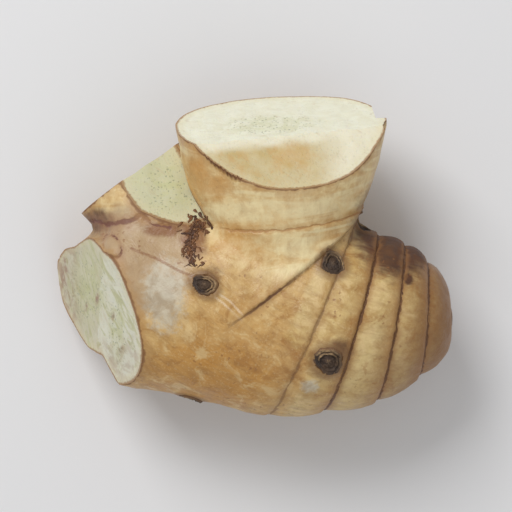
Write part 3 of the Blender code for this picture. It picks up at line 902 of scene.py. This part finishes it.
# The cut flesh: cream to pale green and a little sunk, with fibres seen end on, a dotted green core
# and a dry brown rim under the skin. The knife left it bruised in places.
def paint_flesh(coat):
    """Lay the flesh's colours over its tint: mottling, core, streaks, bruises, fibre ends, rim."""
    tree, place, broad, middle, fine = opened(coat)
    core = uneven(told(tree, "core_radius"), broad, 0.25)
    streak = cloud(told(tree, "body_grain", "Vector"), 1.6, 5.0, 0.65, 0.8)
    grain = cloud(told(tree, "stem_grain", "Vector"), 1.5, 4.0, 0.6, 0.5)
    ends = placed(specks, Place=place, Size=0.62, Share=0.75)["Speck"]
    depth = uneven(told(tree, "skin_depth"), minus(fine, 0.5), 0.5)
    shares = {
        "green": rise(middle, 0.0, 1.0, 0.2, 0.75),
        "end": rise(streak, 0.50, 0.64, 0.0, 0.75),
        "ochre": rise(grain, 0.45, 0.68, 0.0, 0.5),
        "bruise": rise(middle, 0.2, 0.9, 0.15, 0.9),
    }
    shares = {name: times(told(tree, name + "_share"), share) for name, share in shares.items()}
    base = laid_over(told(tree, "face_tint_and_shade", "Color"), (
        (times(middle, 0.25), (0.62, 0.54, 0.33)),
        (times(broad, 0.22), (0.86, 0.84, 0.66)),
        (shares["green"], (0.55, 0.56, 0.29)),
        (shares["end"], (0.50, 0.49, 0.24)),
        (rise(streak, 0.42, 0.28, 0.0, 0.4), (0.55, 0.42, 0.24)),
        (shares["ochre"], (0.60, 0.37, 0.14)),
        (shares["bruise"], (0.36, 0.22, 0.15)),
        (times(ends, rise(core, 1.3, 0.8, 0.08, 0.9)), (0.33, 0.34, 0.20)),
        (rise(depth, 1.7, 0.5, 0.0, 0.35), (0.74, 0.66, 0.42)),
        (rise(depth, 0.42, 0.14, 0.0, 0.85), (0.34, 0.17, 0.06)),
    ))
    height = plus(times(ends, -0.5), times(fine, 0.6))
    shader = surface(coat, base, rise(middle, 0.0, 1.0, 0.36, 0.52), height, 0.4, 0.0003)
    shader.inputs["Subsurface Weight"].default_value = 0.12
    shader.inputs["Subsurface Radius"].default_value = (1.0, 0.75, 0.4)
    shader.inputs["Subsurface Scale"].default_value = 0.0015


paint_flesh(flesh)


# The root scars: where a root was cut off, a corky double collar stays round the dry, dark stump of
# its core. They grew from the skin and stand a little out of it. Each pair is a radius and a height.
SCAR_PROFILE = (
    (0.00, 0.10), (0.12, 0.08), (0.20, 0.00), (0.26, -0.14), (0.34, -0.10), (0.42, -0.12), (0.48, -0.30),
    (0.53, -0.12), (0.58, 0.20), (0.63, 0.18), (0.68, 0.00), (0.73, -0.06), (0.78, 0.14), (0.84, 0.26),
    (0.90, 0.20), (0.97, 0.06), (1.05, -0.18), (1.14, -0.60), (0.90, -1.30), (0.00, -1.40),
)
SCAR_SPOKES = 44
SCAR_FIRST_SEED = 40


def corky(coat):
    """Dark cork: nearly black in the grooves and on the plug, tan on the collars' crests."""
    tree, _, _, middle, fine = opened(coat)
    radius = uneven(told(tree, "stump_radius"), fine, 0.06)
    worn = times(rise(told(tree, "stump_height"), 0.02, 0.24), rise(fine, 0.30, 0.62, 0.25, 1.0))
    worn = times(worn, rise(told(tree, "stump_worn"), 0.1, 0.8, 0.25, 1.0))
    base = laid_over(blend(middle, (0.030, 0.016, 0.010), (0.085, 0.048, 0.026)), (
        (rise(radius, 0.34, 0.10, 0.0, 0.5), (0.13, 0.080, 0.050)),
        (times(worn, 0.9), (0.42, 0.27, 0.13)),
        (rise(radius, 0.88, 1.04, 0.0, 0.8), (0.19, 0.09, 0.035)),
    ))
    rough, height = rise(middle, 0.0, 1.0, 0.55, 0.75), uneven(fine, middle, 0.4)
    surface(coat, base, rough, height, 0.6, 0.0004)


def tube_walls(ring):
    """The four corners of every cell between neighbouring rings of points, each ring closed."""
    after = np.roll(ring, -1, axis=-1)
    corners = (ring[..., :-1, :], after[..., :-1, :], after[..., 1:, :], ring[..., 1:, :])
    return np.stack(corners, axis=-1).reshape(-1, 4)


def with_ends(first, rows, last):
    """A value for the middle of the top, for every point of the rings, and for the foot."""
    return np.concatenate([[first], rows.ravel(), [last]])


def root_scar(name, seat, seed, coat):
    """A profile carried round the seat's middle: each point is moved along the seat's outward way to
    the skin, then by the profile's height. The radius and height waver slowly with the angle."""
    shift = np.random.default_rng(seed).uniform(0, 2 * math.pi, 6)
    radius, height = np.array(SCAR_PROFILE[1:-1]).T
    r, a = np.meshgrid(radius, np.arange(SCAR_SPOKES) * 2 * math.pi / SCAR_SPOKES, indexing="ij")
    lift = np.repeat(height[:, None], SCAR_SPOKES, axis=1)
    lift = lift * np.where(lift > 0, 0.75 + 0.55 * np.sin(a + shift[3] + 3 * r), 1)
    rough = 0.06 * np.sin(5 * a + 9 * r + shift[4]) + 0.04 * np.sin(11 * a - 6 * r + shift[5])
    lift = lift + (0.16 * r * np.cos(a + shift[3]) + rough) * (lift > -0.5)
    wide = (1 + 0.10 * np.sin(2 * a + shift[0]) + 0.075 * np.sin(3 * a + shift[1])
            + 0.03 * np.sin(8 * a + shift[2])) * r
    length, width = seat["half"]
    flat = (seat["spot"] + (wide * np.cos(a) * length)[..., None] * seat["long"]
            + (wide * np.sin(a) * width)[..., None] * seat["short"])
    points = np.concatenate([[seat["spot"]], flat.reshape(-1, 3), [seat["spot"]]])
    for _ in range(8):
        points = points - grown(points)[:, None] * 0.8 * seat["out"]
    radii = with_ends(0.0, r, 0.0)
    heights = with_ends(SCAR_PROFILE[0][1], lift, SCAR_PROFILE[-1][1])
    points = points + (heights + scar_cushion(radii))[:, None] * seat["out"]
    ring = 1 + np.arange(r.size).reshape(r.shape)
    after = np.roll(ring, -1, axis=1)
    walls = tube_walls(ring)[:, (0, 3, 2, 1)].tolist()
    top = np.stack([np.zeros(SCAR_SPOKES, int), ring[0], after[0]], axis=1).tolist()
    foot = np.stack([np.full(SCAR_SPOKES, len(points) - 1), after[-1], ring[-1]], axis=1).tolist()
    made = solid(name, points, walls + top + foot, [coat])
    mark(made.data, "stump_radius", radii)
    mark(made.data, "stump_height", heights)
    mark(made.data, "stump_worn", with_ends(0.5, 0.5 + 0.5 * np.cos(a + shift[4]), 0.5))
    return made


cork = bpy.data.materials.new("root scar cork")
corky(cork)
for number, seat in enumerate(SCAR_SEATS, 1):
    scar = root_scar(f"root_scar_{number}", seat, SCAR_FIRST_SEED + number, cork)
    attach(scar, "root")


# What is left of the scale leaf in the corner of stem and shoot: short, torn, red-brown fibres that
# lie flat on the skin, which they grew from.
FIBRE_COUNT, FIBRE_STATIONS, FIBRE_SIDES = 150, 8, 5
FIBRE_PATH = ((-10.1, 8.8), (-10.7, 7.0), (-11.4, 4.2), (-12.2, 2.2), (-11.0, 0.6))
FIBRE_HEADINGS, FIBRE_FAN, FIBRE_BEND = (-112, -92, -150, -60), 16, 0.5
FIBRE_LENGTHS, FIBRE_HALF_WIDTHS, FIBRE_FLATNESS = (0.4, 1.5), (0.10, 0.36), 0.35
FIBRE_LIFT, FIBRE_CURL = (-0.02, 0.05), (0.0, 0.14)
ABOVE_SKIN = 13.0


def dry_coat(name, low, high, crest, crest_share, rough, share=None):
    """A dry, papery material: two colours by the mottling or by a mark, and paler, finer crests."""
    coat = bpy.data.materials.new(name)
    tree, _, _, middle, fine = opened(coat)
    base = blend(told(tree, share) if share else middle, low, high)
    base = blend(rise(fine, 0.5, 0.75, 0.0, crest_share), base, crest)
    surface(coat, base, rise(middle, 0.0, 1.0, *rough), fine, 0.4, 0.0003)
    return coat


def oval_rings(path, across, over, sides):
    """An oval of points round every point of a path, set by its across and over half axes."""
    turn = (np.arange(sides) * 2 * math.pi / sides)[:, None]
    return path[..., None, :] + across[..., None, :] * np.cos(turn) + over[..., None, :] * np.sin(turn)


def closed_tubes(name, paths, across, over, coat):
    """Tubes with pointed ends: rings of points round each path. The arrays are (tube, station, 3)."""
    count, stations, _ = paths.shape
    body = stations * FIBRE_SIDES
    rings = oval_rings(paths, across, over, FIBRE_SIDES).reshape(count, body, 3)
    number = np.arange(count * (body + 2)).reshape(count, body + 2)
    ring = number[:, :body].reshape(count, stations, FIBRE_SIDES)
    after = np.roll(ring, -1, axis=2)
    first, last = [np.repeat(number[:, end, None], FIBRE_SIDES, axis=1) for end in (body, body + 1)]
    tips = np.concatenate([np.stack([first, after[:, 0], ring[:, 0]], axis=-1).reshape(-1, 3),
                           np.stack([last, ring[:, -1], after[:, -1]], axis=-1).reshape(-1, 3)])
    points = np.concatenate([rings, paths[:, :1], paths[:, -1:]], axis=1).reshape(-1, 3)
    return solid(name, points, tube_walls(ring).tolist() + tips.tolist(), [coat])


def cut_form(place):
    """Distance from the grown skin after the knife cuts, negative inside."""
    height = relief(place)
    trunk, stem = trunk_lobes(place) - height, stalk(place, STEM) - height
    for cut in TRUNK_CUTS:
        trunk = np.maximum(trunk, beyond(place, cut))
    for cut in STEM_CUTS:
        stem = np.maximum(stem, beyond(place, cut))
    return melt(trunk, stem, stem_melt(place))


def scale_fibres(coat):
    """Fibres start near the path, run across or along it, and follow the skin at a small height."""
    draw = np.random.default_rng(8)
    share = draw.uniform(0, 1, FIBRE_COUNT) * (len(FIBRE_PATH) - 1)
    root = np.stack([np.interp(share, np.arange(len(FIBRE_PATH)), line) for line in zip(*FIBRE_PATH)], axis=1)
    root += draw.normal(0, 0.8, root.shape) * (1.0, 0.6)
    heading = np.radians(draw.choice(FIBRE_HEADINGS, FIBRE_COUNT) + draw.normal(0, FIBRE_FAN, FIBRE_COUNT))
    length = draw.uniform(*FIBRE_LENGTHS, FIBRE_COUNT)
    bend = draw.normal(0, FIBRE_BEND, FIBRE_COUNT)
    t = np.linspace(0, 1, FIBRE_STATIONS)
    way = heading[:, None] + bend[:, None] * t
    run = np.stack([np.cos(way), np.sin(way)], axis=-1) * (length[:, None, None] / FIBRE_STATIONS)
    flat = root[:, None] + np.cumsum(run, axis=1)
    points = np.concatenate([flat, np.full(way.shape + (1,), ABOVE_SKIN)], axis=-1).reshape(-1, 3)
    for _ in range(30):
        points[:, 2] -= np.clip(cut_form(points), -3, 3) * 0.7
    out = unit(slope_of(cut_form, points, 0.4)).reshape(way.shape + (3,))
    lift = draw.uniform(*FIBRE_LIFT, FIBRE_COUNT)[:, None]
    lift = lift + draw.uniform(*FIBRE_CURL, FIBRE_COUNT)[:, None] * t ** 2
    paths = points.reshape(out.shape) + out * lift[..., None]
    side = unit(np.cross(out, np.gradient(paths, axis=1)))
    width = draw.uniform(*FIBRE_HALF_WIDTHS, FIBRE_COUNT)[:, None] * (1 - 0.8 * t ** 2)
    width = (width * np.clip(0.3 + 6 * t, 0, 1))[..., None]
    made = closed_tubes("scale_leaf_remains", paths, side * width, out * FIBRE_FLATNESS * width, coat)
    tone = np.repeat(draw.uniform(0, 1, FIBRE_COUNT), FIBRE_STATIONS * FIBRE_SIDES + 2)
    mark(made.data, "tone", tone)
    return made


husk = dry_coat(
    "dry scale leaf", (0.05, 0.017, 0.008), (0.20, 0.078, 0.024), (0.40, 0.20, 0.08), 0.4, (0.5, 0.7), "tone")
remains = scale_fibres(husk)
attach(remains, "root")


# The edges of the old scale leaves: a thin dark rind stands along every ring, ragged and worn away in
# places. One closed band follows each ring round the body, and sinks into the root where it ends.
RIND_HALF_WIDTH, RIND_HALF_THICKNESS = 0.26, 0.10
RIND_STATIONS, RIND_SIDES = 420, 6
RIND_SHARE = {1: 0.6, 2: 1.0, 3: 1.0, 4: 1.0, 5: 0.9, 6: 0.8}
RIND_PIVOT_RADIUS = {1: 50.5, 2: 51.0, 3: 51.0, 4: 51.0, 5: 51.0, 6: 51.0}
RIND_FIRST_SEED = 60
RIND_SUNK = 0.4


def ring_line(number):
    """Points on the skin where the ring's fan angle holds, found by marching outwards from inside,
    and the same line drawn in deep under the skin."""
    around = np.linspace(0, 2 * math.pi, RIND_STATIONS, endpoint=False)
    reach = np.full(RIND_STATIONS, 4.0)

    def at(reach):
        """A point at a reach from the middle of the ring's sheet."""
        z = reach * np.sin(around)
        angle = np.radians(RING_ANGLES[number] + RING_LEAN * z)
        radius = RIND_PIVOT_RADIUS[number] + reach * np.cos(around)
        x, y = RING_PIVOT[0] + radius * np.sin(angle), RING_PIVOT[1] - radius * np.cos(angle)
        return np.stack([x, y, z], axis=1)

    for _ in range(70):
        reach = reach - np.clip(grown(at(reach)), -2, 2) * 0.6
    return at(reach), at(reach * RIND_SUNK)


def ring_rind(number, coat):
    """A flat oval section carried round the ring's line, wider and higher by slow random waves and
    sunk under the skin where no ring shows."""
    draw = np.random.default_rng(RIND_FIRST_SEED + number)
    line, inner = ring_line(number)
    around = np.linspace(0, 2 * math.pi, RIND_STATIONS, endpoint=False)
    counts = np.arange(2, 60, 3)
    starts = draw.uniform(0, 2 * math.pi, len(counts))
    sizes = draw.normal(0, 1, len(counts)) / np.sqrt(counts)
    worn = (np.sin(around[:, None] * counts + starts) * sizes).sum(axis=1)
    thick = np.clip(0.85 + 0.75 * worn, 0.12, 1.9) * RIND_SHARE[number]
    crease = crease_gap(line)
    shown = step_up(ring_strength(line), 0.35, 0.7) * step_up(np.abs(crease), 0.2, 0.8) * (crease < 0)
    shown = shown * step_up(line[:, 2] - REST_LEVEL, 0.2, 1.0)
    out = unit(slope_of(smooth_form, line, 0.4))
    side = unit(np.cross(out, np.roll(line, -1, axis=0) - np.roll(line, 1, axis=0)))
    middle = line + out * 0.02 + side * (0.18 * np.roll(worn, 40))[:, None]
    middle = middle + (inner - middle) * (1 - shown)[:, None]
    width = RIND_HALF_WIDTH * np.maximum(thick, 0.12)
    height = RIND_HALF_THICKNESS * np.clip(thick, 0.2, 1.3)
    rings = oval_rings(middle, side * width[:, None], out * height[:, None], RIND_SIDES)
    ring = np.arange(RIND_STATIONS * RIND_SIDES).reshape(RIND_STATIONS, RIND_SIDES)
    faces = tube_walls(np.concatenate([ring, ring[:1]]))
    return solid(f"ring_rind_{number}", rings.reshape(-1, 3), faces, [coat])


rind = dry_coat(
    "dry ring rind", (0.085, 0.032, 0.014), (0.24, 0.11, 0.04), (0.42, 0.24, 0.10), 0.45, (0.5, 0.65))
for number in RIND_SHARE:
    band = ring_rind(number, rind)
    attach(band, "root")


# A flap of skin torn loose by the knife at the stem's lower rim. It is still joined to the stem along
# its lower side, and its dark edge curls up.
FLAP_SPAN = (-9.6, -3.0)
FLAP_WIDTH, FLAP_CURL, FLAP_THICKNESS = 1.5, 0.55, 0.16
FLAP_COLUMNS, FLAP_ROWS = 49, 9
RIM_START = (14.0, 17.0)


def rim_point(across, below):
    """Points on the stem's skin at a distance below the bevel's path: moved in turn onto the skin
    and onto a plane that runs along with the bevel, at a fixed X."""
    step = unit(STEM_BEVEL_CUT[1]) * (0, 1, 1)
    place = np.stack([across, np.full(len(across), RIM_START[0]), np.full(len(across), RIM_START[1])], axis=1)
    for _ in range(40):
        slope = slope_of(grown, place, 0.1) * (0, 1, 1)
        place = place - slope * (grown(place) / np.square(slope).sum(axis=1))[:, None]
        place = place - (beyond(place, STEM_BEVEL_CUT) + below)[:, None] * step / step.dot(step)
    return place


def torn_flap(coat):
    """A sheet over the rim, whose height above the skin falls with the square of the distance from
    its free edge, and an under side a skin's thickness lower."""
    u, v = np.meshgrid(np.linspace(0, 1, FLAP_COLUMNS), np.linspace(0, 1, FLAP_ROWS), indexing="ij")
    u, v = u.ravel(), v.ravel()
    across = FLAP_SPAN[0] + (FLAP_SPAN[1] - FLAP_SPAN[0]) * u
    ragged = 0.16 * np.sin(9 * across) + 0.10 * np.sin(21 * across + 1) + 0.06 * np.sin(47 * across)
    below = FLAP_WIDTH * v * (0.7 + 0.3 * u) + (ragged - 0.12) * (1 - v)
    place = rim_point(across, below)
    out = unit(slope_of(smooth_form, place, 0.3))
    swell = np.sin(math.pi * u) ** 0.7 * (0.75 + 0.25 * np.sin(2.3 * across))
    top = place + out * (FLAP_CURL * (1 - v) ** 2 * swell - 0.10 * v)[:, None]
    under = top - out * (FLAP_THICKNESS * np.minimum(1, 0.25 + swell))[:, None]
    made = solid("torn_flap", np.concatenate([top, under]), two_sheets(FLAP_COLUMNS, FLAP_ROWS), [coat])
    made.data.set_sharp_from_angle(angle=math.radians(50))
    mark(made.data, "edge_gap", np.tile(v + 0.1 * ragged, 2))
    return made


peel = bpy.data.materials.new("torn skin")
tree, _, _, middle, fine = opened(peel)
base = blend(middle, (0.47, 0.25, 0.075), (0.68, 0.46, 0.19))
edge = uneven(told(tree, "edge_gap"), fine, 0.35)
base = blend(rise(edge, 0.75, 0.25), base, (0.20, 0.080, 0.028))
surface(peel, base, rise(middle, 0.0, 1.0, 0.38, 0.55), fine, 0.4, 0.0003)
flap = torn_flap(peel)
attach(flap, "root")


# The table, a plain pale sheet, with soft light from the window side and the camera straight above.
TABLE_SIZE, TABLE_COLOUR, TABLE_ROUGHNESS = 3.0, (0.78, 0.78, 0.79, 1), 0.6
WINDOW = {"place": (-0.30, 0.45, 0.60), "size": 0.4, "watts": 3.8}
FILL = {"place": (0.20, -0.40, 0.50), "size": 0.6, "watts": 0.7}
ROOM_LIGHT = 0.42
CAMERA_PLACE, CAMERA_LENS = (0.0006, -0.0001, 0.5163), 200

bpy.ops.mesh.primitive_plane_add(size=TABLE_SIZE, location=(0, 0, 0))
table = bpy.context.object
table.name = "table"
paper = bpy.data.materials.new("pale table")
paper.use_nodes = True
paper.node_tree.nodes["Principled BSDF"].inputs["Base Color"].default_value = TABLE_COLOUR
paper.node_tree.nodes["Principled BSDF"].inputs["Roughness"].default_value = TABLE_ROUGHNESS
table.data.materials.append(paper)


def lamp(name, place, size, watts):
    """A square soft light that faces the rhizome."""
    light = bpy.data.lights.new(name, "AREA")
    light.size = size
    light.energy = watts
    made = bpy.data.objects.new(name, light)
    made.location = place
    made.rotation_mode = "QUATERNION"
    made.rotation_quaternion = Vector(place).to_track_quat("Z", "Y")
    bpy.context.scene.collection.objects.link(made)


lamp("window", **WINDOW)
lamp("fill", **FILL)
sky = bpy.data.worlds.new("room")
sky.use_nodes = True
sky.node_tree.nodes["Background"].inputs["Color"].default_value = (1.0, 1.0, 1.0, 1)
sky.node_tree.nodes["Background"].inputs["Strength"].default_value = ROOM_LIGHT
bpy.context.scene.world = sky
bpy.context.scene.view_settings.view_transform = "Standard"

eye = bpy.data.cameras.new("camera")
eye.lens = CAMERA_LENS
camera = bpy.data.objects.new("camera", eye)
camera.location = CAMERA_PLACE
bpy.context.scene.collection.objects.link(camera)
bpy.context.scene.camera = camera
